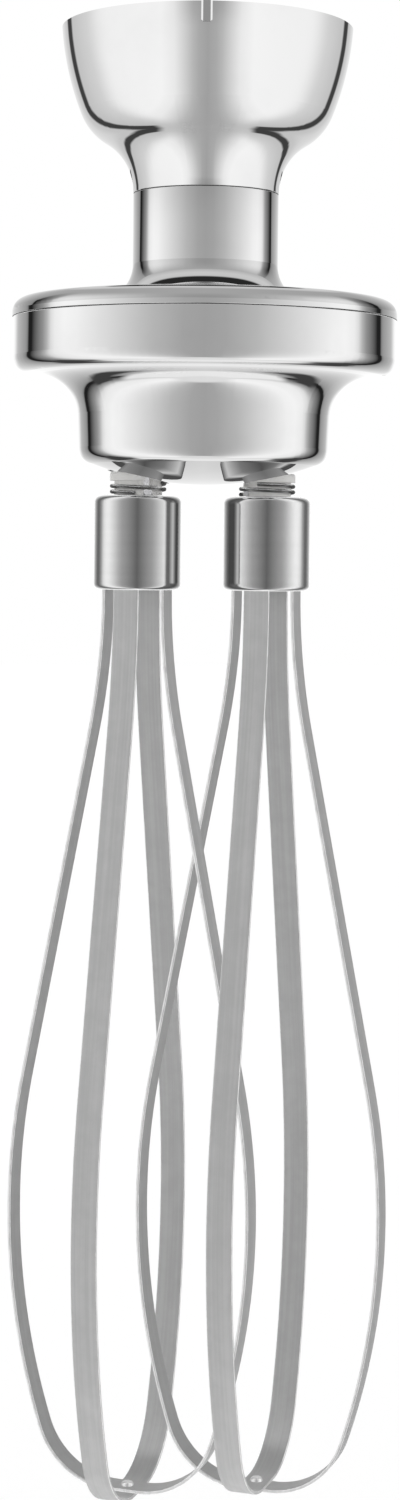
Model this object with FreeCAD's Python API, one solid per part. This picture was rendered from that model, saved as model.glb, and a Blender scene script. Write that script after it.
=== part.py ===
import FreeCAD, Part
import math
import os
from FreeCAD import Vector

# Twin-whisk attachment for a stick blender: a polished bell that locks under the motor body, a round
# gearbox below it, and two counter-turning whisks on snap-fit hubs.
# Millimetres, +Z up, X along the line of the two whisks, origin in the middle of the bell's mouth.

# Fits
running_gap = 0.05       # radial, turning or sliding on a shaft
seat_gap = 0.02          # radial, pressed or screwed together
lay_gap = 0.1            # radial, loose register
edge_break = 0.2         # small chamfers at visible seams

# Shafts and bearings
shaft_radius = 4.0
input_bearing_radius = 11.0
input_bearing_width = 7.0
spindle_bearing_radius = 8.0
spindle_bearing_width = 5.0
bearing_balls = 7
ball_to_section = 0.286  # ball radius over the bearing's radial section
land_to_ball = 0.7       # half the gap between the rings over the ball's radius
bearing_shoulder = 1.8   # radial height of the shoulders that hold outer rings
clip_thickness = 0.8
clip_groove_depth = 0.4
clip_height = 1.6        # how far a clip stands out of its groove's bottom
clip_opening = 50.0      # degrees left open in a clip

# Bell
socket_radius = 31.5
socket_depth = 14.0
rim_width = 5.4
bell_side_radius = 71.8
bell_shoulder_radius = 14.3
bell_flare_radius = 14.9
bell_mouth_angle = 4.18  # degrees from the axis
bell_waist_angle = 22.0
bell_skirt = 0.35
bell_floor = 4.1
bell_screw_radius = 1.25
bell_screw_head = 2.2
bell_screw_head_height = 1.6
bell_screw_length = 9.0
bell_screw_wall = 1.65   # metal between the upper bearing and the screws
bell_screws = 3
bell_screw_start = 30.0  # degrees from +X
screw_socket_flats = 1.7 # hexagon across flats over the shank's radius
screw_socket_depth = 0.6 # of the head's height
neck_wall = 2.05
head_room = 0.3
index_rib_width = 2.7
index_rib_height = 5.5
index_rib_proud = 0.9
index_rib_angle = -7.4   # degrees from the front
register_height = 1.0
register_edge = 1.85     # neck shoulder left outside the register

# Bayonet ring
bayonet_ring_step = 1.9  # ring seat smaller than the socket by this
bayonet_ring_width = 4.5
bayonet_ring_height = 5.0
bayonet_lug_reach = 2.5
bayonet_lug_angle = 34.0
bayonet_lugs = 3
bayonet_start = 90.0     # degrees from +X, lugs and screws
bayonet_screw_radius = 1.1
bayonet_screw_head = 1.9
bayonet_screw_length = 8.0
cavity_cone_height = 14.0

# Drive coupling
coupling_radius = 10.0
coupling_length = 18.7
coupling_floor_gap = 0.8
coupling_hex_flats = 9.0
coupling_hex_depth = 11.0
coupling_web = 1.0
coupling_pin_radius = 1.0
coupling_pin_height = 3.2
coupling_lead = 1.0      # chamfer at both ends

# Neck and flange
neck_length = 27.03
neck_fillet = 9.0
flange_radius = 48.8
cover_height = 4.85
cover_thickness = 2.55
cover_edge_radius = 3.5
spigot_depth = 3.7
spigot_width = 3.5
flange_wall = 2.8
seal_section = 0.8       # radius of the sealing ring's section
seal_groove_height = 1.8
shaft_seal_height = 2.0

# Lower housing
housing_wall_height = 13.65
housing_corner_radius = 4.0
underside_slope = 1.5
cove_radius = 10.4
lower_radius = 31.9      # at the foot of the wall
lower_draft = math.radians(2.6)
lower_wall = 3.1
chamber_height = 11.6
dome_bottom = 42.0       # below the seam
dome_radius = 82.0
dome_corner_radius = 4.5
lower_floor = 7.8
boss_radius = 10.5
boss_height = 8.5
lower_bearing_floor = 0.8
spindle_seal_radius = 7.0
spindle_seal_height = 3.0
seal_lip_wall = 1.0
exit_pocket_radius = 8.0
exit_pocket_depth = 4.2

# Gear plate
plate_thickness = 2.2
plate_web = 1.3
plate_cup_wall = 2.3
plate_screw_radius = 1.5
plate_screw_head = 2.6
plate_screw_head_height = 1.6
plate_screw_circle = 38.0
plate_screw_depth = 2.6
plate_screws = 4
plate_screw_start = 45.0 # degrees from +X

# Gears
gear_module = 1.0
pressure_angle = math.radians(25.0)
tooth_thinning = 0.12
root_depth = 1.25        # in modules
pinion_teeth = 12
wheel_teeth = 30
output_teeth = 33
wheel_width = 5.0
output_width = 4.5
gear_side_gap = 1.0      # cover to wheel
gear_step_gap = 0.8      # wheel to output gears
pinion_bore = 3.0
axle_radius = 2.5
axle_bush_wall = 1.0
axle_cover_depth = 1.6
axle_boss_radius = 4.2
axle_boss_height = 4.0
key_width = 2.0
key_depth = 1.0

# Whisk drive end
hub_rise = 3.25          # hub's top above the dome's lowest point
hub_ring_radius = 7.15
hub_ring_height = 2.2
hub_edge_radius = 0.6
hub_neck_radius = 6.05
hub_flange_height = 2.7
hub_wall_below = 1.0
spindle_engagement = 10.5
drive_pin_radius = 1.2
drive_pin_depth = 4.9    # below the hub's top
drive_pin_inset = 0.05
slot_floor_gap = 0.15

# Retaining spring
wire_radius = 0.5
wire_pitch = 1.42
wire_turns = 1.75
wire_lay_gap = 0.1
wire_end_angle = 50.0    # degrees, wire's upper end past the slot

# Collar and core
collar_drop = 5.9        # collar top below the hub's top
collar_radius = 11.0
collar_length = 23.8
collar_edge_radius = 1.8
collar_foot_radius = 1.4
collar_top_wall = 2.8
collar_wall = 2.0
core_recess = 0.6

# Whisk strips
strip_width = 6.7
strip_thickness = 0.8
strip_root_radius = 7.85
strip_straight = 0.8     # straight run below the collar
strip_flare_radius = 180.0
strip_flare_angle = math.radians(11.1)
bulge_radius = 32.0
bulge_curve_radius = 174.0 # above the widest place
tip_curve_radius = 20.0
tip_flat = 3.9           # half of the flat run at the tip
whisk_length = 252.1     # collar's top to the lowest face of the strips, along the axis
rivet_radius = 1.0
rivet_head_radius = 1.95
rivet_head_height = 1.2
rivet_top_radius = 1.55
rivet_top_height = 0.9
rivet_head_round = 0.8   # of a head's height
whisk_angle = -26.0      # degrees, the left whisk's inner loop
slot_turn = -45.0        # hub slot from the inner loop
right_whisk_turn = -90.0 # right whisk turned from the left one

# Worked-out radii
mouth_radius = socket_radius + rim_width
bell_screw_circle = input_bearing_radius + bell_screw_wall + bell_screw_radius
cavity_floor_radius = bell_screw_circle + bell_screw_head + head_room
neck_radius = cavity_floor_radius + neck_wall
register_radius = neck_radius - register_edge
ring_seat_radius = socket_radius - bayonet_ring_step
ring_inner_radius = ring_seat_radius - lay_gap - bayonet_ring_width
chamber_radius = flange_radius - flange_wall
spigot_radius = chamber_radius - lay_gap
cavity_radius = lower_radius - lower_wall
pinion_pitch = gear_module * pinion_teeth / 2
wheel_pitch = gear_module * wheel_teeth / 2
output_pitch = gear_module * output_teeth / 2
spindle_offset = output_pitch
bush_radius = axle_radius + running_gap + axle_bush_wall
wire_coil_radius = hub_neck_radius + wire_lay_gap + wire_radius
core_flat = strip_root_radius - strip_thickness / 2
strip_corner = math.hypot(strip_root_radius + strip_thickness / 2, strip_width / 2)
collar_bore = max(collar_radius - collar_wall, strip_corner + running_gap)

# Worked-out levels
mouth_angle = math.radians(bell_mouth_angle)
waist_angle = math.radians(bell_waist_angle)
flare_cosine = (neck_radius - mouth_radius + bell_flare_radius
                + bell_side_radius * (math.cos(mouth_angle) - math.cos(waist_angle))
                + bell_shoulder_radius * math.cos(waist_angle)) / (bell_shoulder_radius + bell_flare_radius)
flare_angle = math.acos(flare_cosine)
bell_bottom = -(bell_side_radius * (math.sin(waist_angle) - math.sin(mouth_angle))
                + bell_shoulder_radius * (math.sin(flare_angle) - math.sin(waist_angle))
                + bell_flare_radius * math.sin(flare_angle) + bell_skirt)
bell_floor_top = bell_bottom + bell_floor
ring_seat_z = -socket_depth - bayonet_ring_height - lay_gap
register_top = bell_bottom + register_height
upper_bearing_top = register_top - shaft_seal_height - clip_thickness - 2 * lay_gap
cover_top = bell_bottom - neck_length
cover_inside = cover_top - cover_thickness
lower_bearing_bottom = cover_inside + clip_thickness + 2 * lay_gap + running_gap + clip_height
seam = cover_top - cover_height
chamber_floor = seam - chamber_height
wheel_top = cover_inside - gear_side_gap
wheel_bottom = wheel_top - wheel_width
output_top = wheel_bottom - gear_step_gap
output_bottom = output_top - output_width
plate_top = chamber_floor + plate_thickness
cup_ceiling = plate_top - plate_web
dome_z = seam - dome_bottom
lower_floor_z = dome_z + lower_floor
boss_top = lower_floor_z + boss_height
pocket_top = dome_z + spindle_offset ** 2 / (2 * dome_radius) + exit_pocket_depth
seal_ledge = pocket_top + spindle_seal_height
lower_seat = seal_ledge + lower_bearing_floor
hub_top = dome_z + hub_rise
pin_z = hub_top - drive_pin_depth
spindle_end = hub_top - spindle_engagement
hub_bottom = spindle_end - running_gap - 2 * hub_wall_below
collar_top = hub_top - collar_drop
collar_bottom = collar_top - collar_length
hub_flange_top = collar_top - collar_top_wall - lay_gap
core_top = hub_flange_top - hub_flange_height - lay_gap
core_bottom = collar_bottom + core_recess
strip_start = collar_bottom - strip_straight
strip_low = collar_top - whisk_length

# Layshaft place: in mesh with the input pinion and with the left output gear
lay_to_input = pinion_pitch + wheel_pitch
lay_to_left = pinion_pitch + output_pitch
lay_x = (lay_to_left ** 2 - lay_to_input ** 2 - spindle_offset ** 2) / (2 * spindle_offset)
lay_y = math.sqrt(lay_to_input ** 2 - lay_x ** 2)


def cylinder(radius, low, high, x=0.0, y=0.0):
    return Part.makeCylinder(radius, high - low, Vector(x, y, low))


def tube(outer, inner, low, high, x=0.0, y=0.0):
    return cylinder(outer, low, high, x, y).cut(cylinder(inner, low, high, x, y))


def around_z(shape, degrees, x=0.0, y=0.0):
    copy = shape.copy()
    copy.rotate(Vector(x, y, 0), Vector(0, 0, 1), degrees)
    return copy


def moved(shape, x=0.0, y=0.0, z=0.0):
    copy = shape.copy()
    copy.translate(Vector(x, y, z))
    return copy


def in_circle(shape, count, first=0.0):
    return [around_z(shape, first + 360.0 * i / count) for i in range(count)]


def flat_point(r, z):
    return Vector(r, 0, z)


def round_corner(before, corner, after, radius):
    # Tangent points and middle of the arc that rounds a corner.
    back = (before - corner).normalize()
    ahead = (after - corner).normalize()
    half = back.getAngle(ahead) / 2
    run = radius / math.tan(half)
    middle = (back + ahead).normalize() * (radius / math.sin(half) - radius)
    return corner + back * run, corner + middle, corner + ahead * run


def chain_edges(corners):
    # Straight runs through (r, z) corners; a third number rounds that corner.
    points = [flat_point(c[0], c[1]) for c in corners]
    edges = []
    last = points[0]
    for i in range(1, len(points)):
        rounded = i < len(points) - 1 and len(corners[i]) > 2
        if rounded:
            start, middle, end = round_corner(points[i - 1], points[i], points[i + 1], corners[i][2])
        else:
            start = points[i]
        edges.append(Part.makeLine(last, start))
        last = start
        if rounded:
            edges.append(Part.Arc(start, middle, end).toShape())
            last = end
    return edges


def arc_edge(centre, radius, first, last):
    # Arc in the XZ plane, angles in radians from +X towards +Z.
    middle = (first + last) / 2
    points = [centre + flat_point(math.cos(a), math.sin(a)) * radius for a in (first, middle, last)]
    return Part.Arc(*points).toShape()


def start_of(edge):
    return edge.valueAt(edge.FirstParameter)


def end_of(edge):
    return edge.valueAt(edge.LastParameter)


def turned(edges):
    face = Part.Face(Part.Wire(edges))
    return face.revolve(Vector(0, 0, 0), Vector(0, 0, 1), 360)


def turned_corners(corners):
    return turned(chain_edges(corners + [corners[0]]))


def group(shapes):
    return Part.makeCompound(shapes)


def bell_side():
    # Tangent arcs down the bell: long side, shoulder, then the hollow flare into the neck.
    def outward(angle):
        return flat_point(math.cos(angle), -math.sin(angle))
    start = flat_point(mouth_radius, 0)
    side_centre = start - outward(mouth_angle) * bell_side_radius
    side = arc_edge(side_centre, bell_side_radius, -mouth_angle, -waist_angle)
    shoulder_centre = end_of(side) - outward(waist_angle) * bell_shoulder_radius
    shoulder = arc_edge(shoulder_centre, bell_shoulder_radius, -waist_angle, -flare_angle)
    flare_centre = end_of(shoulder) + outward(flare_angle) * bell_flare_radius
    flare = arc_edge(flare_centre, bell_flare_radius, math.pi - flare_angle, math.pi)
    return [side, shoulder, flare]


def cap_screw(x, y, seat, shank, length, head, head_height):
    body = cylinder(head, seat, seat + head_height, x, y)
    body = body.fuse(cylinder(shank, seat - length, seat, x, y))
    depth = head_height * screw_socket_depth
    socket = hexagon(shank * screw_socket_flats, depth)
    return body.cut(moved(socket, x, y, seat + head_height - depth))


def hexagon(flats, height):
    reach = flats / math.sqrt(3.0)
    corners = [Vector(reach * math.cos(a), reach * math.sin(a), 0) for a in
               [math.radians(60.0 * i) for i in range(7)]]
    return Part.Face(Part.makePolygon(corners)).extrude(Vector(0, 0, height))


def circle_places(count, circle, first):
    angles = [math.radians(first + 360.0 * i / count) for i in range(count)]
    return [(circle * math.cos(a), circle * math.sin(a)) for a in angles]


bell_screw_places = circle_places(bell_screws, bell_screw_circle, bell_screw_start)
bayonet_screw_circle = ring_inner_radius + bayonet_ring_width / 2
bayonet_screw_places = circle_places(bayonet_lugs, bayonet_screw_circle, bayonet_start)
plate_screw_places = circle_places(plate_screws, plate_screw_circle, plate_screw_start)


def index_rib():
    # Raised alignment mark on the front of the rim, with sloping sides and foot.
    depth = rim_width / 2
    base = mouth_radius - depth
    face = mouth_radius + index_rib_proud
    half = index_rib_width / 2
    slope = index_rib_proud / 2
    outline = [Vector(-half, -base, 0), Vector(-half, -face + slope, 0), Vector(-half + slope, -face, 0),
               Vector(half - slope, -face, 0), Vector(half, -face + slope, 0), Vector(half, -base, 0)]
    rib = Part.Face(Part.makePolygon(outline + outline[:1])).extrude(Vector(0, 0, -index_rib_height))
    foot = Part.makeBox(2 * index_rib_width, 2 * depth, index_rib_height)
    foot.translate(Vector(-index_rib_width, -face - depth, 0))
    foot.rotate(Vector(0, -face, 0), Vector(1, 0, 0), -45.0)
    foot.translate(Vector(0, 0, -index_rib_height - index_rib_height * math.sqrt(2.0) / 2 + slope))
    return rib.cut(foot)


def make_bell():
    side = bell_side()
    flare_end = end_of(side[-1])
    ledge = ring_inner_radius - lay_gap
    recess = register_radius + running_gap
    shaft_hole = input_bearing_radius - bearing_shoulder
    inside = [(flare_end.x, flare_end.z), (flare_end.x, bell_bottom + edge_break),
              (flare_end.x - edge_break, bell_bottom), (recess, bell_bottom),
              (recess, register_top), (shaft_hole, register_top),
              (shaft_hole, bell_floor_top), (cavity_floor_radius, bell_floor_top),
              (cavity_floor_radius, ring_seat_z - cavity_cone_height), (ledge, ring_seat_z),
              (ring_seat_radius, ring_seat_z), (ring_seat_radius, -socket_depth),
              (socket_radius, -socket_depth), (socket_radius, 0), (mouth_radius, 0)]
    bell = turned(side + chain_edges(inside)).fuse(around_z(index_rib(), index_rib_angle))
    for x, y in bell_screw_places:
        bell = bell.cut(cylinder(bell_screw_radius + lay_gap, bell_bottom, bell_floor_top, x, y))
    depth = bayonet_screw_length - bayonet_ring_height + bayonet_screw_head + lay_gap
    for x, y in bayonet_screw_places:
        bell = bell.cut(cylinder(bayonet_screw_radius + seat_gap, ring_seat_z - depth, ring_seat_z, x, y))
    return bell.removeSplitter()


def make_bayonet_ring():
    low = ring_seat_z
    high = low + bayonet_ring_height
    ring = tube(ring_seat_radius - lay_gap, ring_inner_radius, low, high)
    lug_face = tube(ring_inner_radius + lay_gap, ring_inner_radius - bayonet_lug_reach, low, high)
    reach = 2 * ring_inner_radius
    half = reach * math.tan(math.radians(bayonet_lug_angle / 2))
    tip = Vector(0, 0, low)
    wedge = Part.Face(Part.makePolygon([tip, Vector(reach, -half, low), Vector(reach, half, low), tip]))
    lug = lug_face.common(wedge.extrude(Vector(0, 0, high - low)))
    for copy in in_circle(lug, bayonet_lugs, bayonet_start):
        ring = ring.fuse(copy)
    shank = bayonet_screw_radius + lay_gap
    head = bayonet_screw_head + lay_gap
    for x, y in bayonet_screw_places:
        ring = ring.cut(countersunk(x, y, high, shank, head, low))
    return ring.removeSplitter()


def countersunk(x, y, top, shank, head, low):
    cone = Part.makeCone(shank, head, head - shank, Vector(x, y, top - head + shank))
    return cone.fuse(cylinder(shank, low, top - head + shank, x, y))


def make_bayonet_screws():
    top = ring_seat_z + bayonet_ring_height
    low = top - bayonet_screw_length
    slot_width = bayonet_screw_radius / 2
    screws = []
    for x, y in bayonet_screw_places:
        screw = countersunk(x, y, top, bayonet_screw_radius, bayonet_screw_head, low)
        slot = Part.makeBox(2 * bayonet_screw_head, slot_width, slot_width)
        slot.translate(Vector(x - bayonet_screw_head, y - slot_width / 2, top - slot_width))
        screws.append(screw.cut(slot))
    return group(screws)


def make_bell_screws():
    return group([cap_screw(x, y, bell_floor_top, bell_screw_radius, bell_screw_length, bell_screw_head,
                            bell_screw_head_height) for x, y in bell_screw_places])


def make_cover():
    spigot_bottom = seam - spigot_depth
    spigot_inner = spigot_radius - spigot_width
    shoulder = input_bearing_radius - bearing_shoulder
    upper_seat = upper_bearing_top - input_bearing_width
    lower_seat_top = lower_bearing_bottom + input_bearing_width
    seat = input_bearing_radius + seat_gap
    corners = [(seat, register_top), (register_radius, register_top), (register_radius, bell_bottom),
               (neck_radius - edge_break, bell_bottom), (neck_radius, bell_bottom - edge_break),
               (neck_radius, cover_top, neck_fillet), (flange_radius, cover_top, cover_edge_radius),
               (flange_radius, seam + edge_break), (flange_radius - edge_break, seam), (spigot_radius, seam),
               (spigot_radius, spigot_bottom), (spigot_inner, spigot_bottom), (spigot_inner, cover_inside),
               (seat, cover_inside), (seat, lower_seat_top), (shoulder, lower_seat_top),
               (shoulder, upper_seat), (seat, upper_seat)]
    cover = turned_corners(corners)
    groove_low = seam - (spigot_depth + seal_groove_height) / 2
    groove_high = groove_low + seal_groove_height
    groove_inner = spigot_radius - 2 * seal_section
    cover = cover.cut(tube(spigot_radius + lay_gap, groove_inner, groove_low, groove_high))
    clip_low = lower_bearing_bottom - clip_thickness - lay_gap - lay_gap / 2
    clip_high = clip_low + clip_thickness + lay_gap
    cover = cover.cut(cylinder(seat + clip_groove_depth, clip_low, clip_high))
    depth = bell_floor_top - bell_screw_length - lay_gap
    for x, y in bell_screw_places:
        cover = cover.cut(cylinder(bell_screw_radius + seat_gap, depth, register_top, x, y))
    axle_end = cover_inside + axle_cover_depth
    return cover.cut(cylinder(axle_radius + seat_gap, cover_inside, axle_end, lay_x, lay_y))


def make_cover_seal():
    middle = seam - spigot_depth / 2
    return Part.makeTorus(spigot_radius - seal_section, seal_section - seat_gap, Vector(0, 0, middle))


def make_shaft_seal():
    # Lip seal: a cup whose thin lip runs on the shaft.
    low = register_top - shaft_seal_height
    ring = tube(input_bearing_radius, shaft_radius + running_gap, low, register_top)
    hollow = tube(input_bearing_radius - bearing_shoulder, shaft_radius + bearing_shoulder, low,
                  low + shaft_seal_height / 2)
    return ring.cut(hollow)


def bearing(outer, width, top, x):
    # Outer ring, inner ring and balls of one deep-groove ball bearing.
    section = outer - shaft_radius
    ball = section * ball_to_section
    pitch = (outer + shaft_radius) / 2
    land = ball * land_to_ball
    middle = top - width / 2
    groove = Part.makeTorus(pitch, ball + running_gap, Vector(x, 0, middle))
    outer_ring = tube(outer, pitch + land, top - width, top, x).cut(groove)
    inner_ring = tube(pitch - land, shaft_radius + seat_gap, top - width, top, x).cut(groove)
    places = circle_places(bearing_balls, pitch, 0.0)
    balls = [Part.makeSphere(ball, Vector(x + across, y, middle)) for across, y in places]
    return outer_ring, inner_ring, balls


def make_input_bearings():
    upper = bearing(input_bearing_radius, input_bearing_width, upper_bearing_top, 0)
    lower = bearing(input_bearing_radius, input_bearing_width, lower_bearing_bottom + input_bearing_width, 0)
    return group([upper[0], lower[0]]), group([upper[1], lower[1]]), group(upper[2] + lower[2])


def spindle_bearings(x):
    upper = bearing(spindle_bearing_radius, spindle_bearing_width, cup_ceiling, x)
    lower = bearing(spindle_bearing_radius, spindle_bearing_width, lower_seat + spindle_bearing_width, x)
    return [upper[0], lower[0]], [upper[1], lower[1]], upper[2] + lower[2]


def open_ring(outer, inner, low, x=0.0):
    # Spring clip: a flat ring with a gap on the +Y side.
    ring = tube(outer, inner, low, low + clip_thickness, x)
    half = math.tan(math.radians(clip_opening / 2)) * 2 * outer
    gap = Part.Face(Part.makePolygon([Vector(x, 0, low), Vector(x + half, 2 * outer, low),
                                      Vector(x - half, 2 * outer, low), Vector(x, 0, low)]))
    return ring.cut(gap.extrude(Vector(0, 0, clip_thickness)))


def make_bearing_clip():
    outer = input_bearing_radius + clip_groove_depth
    return open_ring(outer, outer - clip_height, lower_bearing_bottom - clip_thickness - lay_gap)


def shaft_clip(low, x=0.0):
    inner = shaft_radius - clip_groove_depth + seat_gap
    return open_ring(inner + clip_height, inner, low, x)


def clip_groove(low, x=0.0):
    wide = lay_gap / 2
    high = low + clip_thickness + wide
    return tube(shaft_radius + lay_gap, shaft_radius - clip_groove_depth, low - wide, high, x)


input_clip_levels = [upper_bearing_top + lay_gap, lower_bearing_bottom - clip_thickness - lay_gap]
spindle_clip_level = cup_ceiling - spindle_bearing_width - clip_thickness - lay_gap


def make_housing():
    wall_low = seam - housing_wall_height
    dome_centre = flat_point(0, dome_z + dome_radius)
    corner_r = lower_radius - dome_corner_radius * math.cos(lower_draft)
    drop = math.sqrt((dome_radius - dome_corner_radius) ** 2 - corner_r ** 2)
    corner_centre = flat_point(corner_r, dome_centre.z - drop)
    lean = math.atan2(drop, corner_r)
    corner = arc_edge(corner_centre, dome_corner_radius, -lower_draft, -lean)
    dome = arc_edge(dome_centre, dome_radius, -lean, -math.pi / 2)
    foot = start_of(corner)
    wall_top = wall_low - underside_slope
    wall_radius = foot.x + (wall_top - foot.z) * math.tan(lower_draft)
    outside = [(flange_radius - edge_break, seam), (flange_radius, seam - edge_break),
               (flange_radius, wall_low, housing_corner_radius),
               (wall_radius, wall_top, cove_radius), (foot.x, foot.z)]
    inside = [(0, dome_z), (0, lower_floor_z), (cavity_radius, lower_floor_z), (cavity_radius, chamber_floor),
              (chamber_radius, chamber_floor), (chamber_radius, seam), (flange_radius - edge_break, seam)]
    housing = turned(chain_edges(outside) + [corner, dome] + chain_edges(inside))
    for x in (-spindle_offset, spindle_offset):
        housing = housing.fuse(cylinder(boss_radius, lower_floor_z - lay_gap, boss_top, x))
    for x in (-spindle_offset, spindle_offset):
        for radius, low, high in ((spindle_bearing_radius + seat_gap, lower_seat, boss_top),
                                  (spindle_bearing_radius - bearing_shoulder, seal_ledge, lower_seat),
                                  (spindle_seal_radius + seat_gap, pocket_top, seal_ledge),
                                  (exit_pocket_radius, dome_z - lay_gap, pocket_top)):
            housing = housing.cut(cylinder(radius, low, high, x))
    depth = chamber_floor - plate_screw_depth - lay_gap
    for x, y in plate_screw_places:
        housing = housing.cut(cylinder(plate_screw_radius + seat_gap, depth, chamber_floor, x, y))
    return housing.removeSplitter()


def make_plate():
    plate = cylinder(chamber_radius - lay_gap, chamber_floor, plate_top)
    cup = spindle_bearing_radius + plate_cup_wall
    cup_bottom = cup_ceiling - spindle_bearing_width - lay_gap
    boss_bottom = chamber_floor - axle_boss_height
    for x in (-spindle_offset, spindle_offset):
        plate = plate.fuse(cylinder(cup, cup_bottom, chamber_floor, x))
    plate = plate.fuse(cylinder(axle_boss_radius, boss_bottom, chamber_floor, lay_x, lay_y))
    for x in (-spindle_offset, spindle_offset):
        plate = plate.cut(cylinder(spindle_bearing_radius + seat_gap, cup_bottom, cup_ceiling, x))
        plate = plate.cut(cylinder(spindle_bearing_radius - bearing_shoulder, cup_ceiling, plate_top, x))
    plate = plate.cut(cylinder(axle_radius + seat_gap, boss_bottom, plate_top, lay_x, lay_y))
    for x, y in plate_screw_places:
        plate = plate.cut(cylinder(plate_screw_radius + lay_gap, chamber_floor, plate_top, x, y))
    return plate.removeSplitter()


def make_plate_screws():
    length = plate_thickness + plate_screw_depth
    return group([cap_screw(x, y, plate_top, plate_screw_radius, length, plate_screw_head,
                            plate_screw_head_height) for x, y in plate_screw_places])


def make_axle():
    return cylinder(axle_radius, chamber_floor - axle_boss_height, cover_inside + axle_cover_depth - lay_gap,
                    lay_x, lay_y)


def make_spindle_seals():
    seals = []
    hollow_low = pocket_top + spindle_seal_height / 2
    for x in (-spindle_offset, spindle_offset):
        ring = tube(spindle_seal_radius, shaft_radius + running_gap, pocket_top, seal_ledge, x)
        hollow = tube(spindle_seal_radius - seal_lip_wall, shaft_radius + seal_lip_wall,
                      hollow_low, seal_ledge, x)
        seals.append(ring.cut(hollow))
    return group(seals)


def make_coupling():
    low = bell_floor_top + coupling_floor_gap
    high = low + coupling_length
    end = coupling_radius - coupling_lead
    body = turned_corners([(0, low), (end, low), (coupling_radius, low + coupling_lead),
                           (coupling_radius, high - coupling_lead), (end, high), (0, high)])
    body = body.cut(moved(hexagon(coupling_hex_flats, coupling_hex_depth), 0, 0, high - coupling_hex_depth))
    body = body.cut(cylinder(shaft_radius + seat_gap, low, shaft_top))
    return body.cut(cross_pin(coupling_pin_radius + seat_gap, coupling_radius, pin_level))


def cross_pin(radius, half, level, x=0.0, degrees=0.0):
    pin = Part.makeCylinder(radius, 2 * half, Vector(x - half, 0, level), Vector(1, 0, 0))
    return around_z(pin, degrees, x)


shaft_top = bell_floor_top + coupling_floor_gap + coupling_length - coupling_hex_depth - coupling_web
pin_level = bell_floor_top + coupling_floor_gap + coupling_pin_height


def make_input_shaft():
    shaft = cylinder(shaft_radius, wheel_top + gear_side_gap / 2, shaft_top - lay_gap)
    shaft = shaft.fuse(cylinder(pinion_bore - seat_gap, wheel_bottom, wheel_top + gear_side_gap / 2))
    for level in input_clip_levels:
        shaft = shaft.cut(clip_groove(level))
    return shaft.cut(cross_pin(coupling_pin_radius + seat_gap, shaft_radius + lay_gap, pin_level))


def make_input_spacer():
    low = lower_bearing_bottom + input_bearing_width
    high = upper_bearing_top - input_bearing_width
    return tube(shaft_radius + clip_height, shaft_radius + seat_gap, low, high)


def polar(radius, angle):
    return Vector(radius * math.cos(angle), radius * math.sin(angle), 0)


def gear_teeth(teeth, phase):
    # Outline of a spur gear with one tooth centred on the phase angle, flanks as arcs on the involute.
    pitch = gear_module * teeth / 2
    base = pitch * math.cos(pressure_angle)
    tip = pitch + gear_module
    root = pitch - root_depth * gear_module
    half = math.pi / (2 * teeth) - tooth_thinning / (2 * pitch)
    start = max(base, root)
    middle = (start + tip) / 2

    def flank(radius):
        angle = math.acos(min(1.0, base / radius))
        return half + math.tan(pressure_angle) - pressure_angle - math.tan(angle) + angle

    edges = []
    step = 2 * math.pi / teeth
    for i in range(teeth):
        centre = math.radians(phase) + i * step
        rise = [polar(r, centre - flank(r)) for r in (start, middle, tip)]
        fall = [polar(r, centre + flank(r)) for r in (tip, middle, start)]
        foot = polar(root, centre - flank(start))
        heel = polar(root, centre + flank(start))
        next_foot = polar(root, centre + step - flank(start))
        if root < base:
            edges.append(Part.makeLine(foot, rise[0]))
        edges.append(Part.Arc(*rise).toShape())
        edges.append(Part.Arc(rise[2], polar(tip, centre), fall[0]).toShape())
        edges.append(Part.Arc(*fall).toShape())
        if root < base:
            edges.append(Part.makeLine(fall[2], heel))
        edges.append(Part.Arc(heel, polar(root, centre + step / 2), next_foot).toShape())
    return Part.Face(Part.Wire(edges))


def gear(teeth, phase, low, high, bore, x=0.0, y=0.0):
    body = moved(gear_teeth(teeth, phase).extrude(Vector(0, 0, high - low)), x, y, low)
    return body.cut(cylinder(bore, low, high, x, y))


def mesh_phase(teeth, other_teeth, other_phase, bearing_angle):
    # Phase of a gear that lies at a bearing angle from its mate, with a gap where the mate has a tooth.
    turn = other_teeth / teeth * (other_phase - bearing_angle)
    return 180.0 + bearing_angle - turn + 180.0 / teeth


lay_bearing = math.degrees(math.atan2(lay_y, lay_x + spindle_offset))
input_bearing_angle = math.degrees(math.atan2(-lay_y, -lay_x))
left_phase = 0.0
right_phase = mesh_phase(output_teeth, output_teeth, left_phase, 0.0)
lay_phase = mesh_phase(pinion_teeth, output_teeth, left_phase, lay_bearing)
input_phase = mesh_phase(pinion_teeth, wheel_teeth, input_bearing_angle, input_bearing_angle)


def make_input_pinion():
    return gear(pinion_teeth, input_phase, wheel_bottom, wheel_top, pinion_bore)


def make_lay_wheel():
    bore = bush_radius + seat_gap
    return gear(wheel_teeth, input_bearing_angle, wheel_bottom, wheel_top, bore, lay_x, lay_y)


def make_lay_pinion():
    bore = bush_radius + seat_gap
    teeth = gear(pinion_teeth, lay_phase, output_bottom, output_top, bore, lay_x, lay_y)
    root = pinion_pitch - root_depth * gear_module
    spigot = tube(root, bore, output_top, wheel_bottom, lay_x, lay_y)
    return teeth.fuse(spigot).removeSplitter()


def make_lay_bush():
    return tube(bush_radius, axle_radius + running_gap, plate_top + 2 * lay_gap, cover_inside - 2 * lay_gap,
                lay_x, lay_y)


def key_block(x, grow):
    block = Part.makeBox(key_width + 2 * grow, 2 * (key_depth + grow), output_width)
    block.translate(Vector(x - key_width / 2 - grow, shaft_radius - key_depth - grow, output_bottom))
    return block


def make_output_gear(x, phase):
    body = gear(output_teeth, phase, output_bottom, output_top, shaft_radius + seat_gap, x)
    return body.cut(key_block(x, seat_gap))


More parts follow.
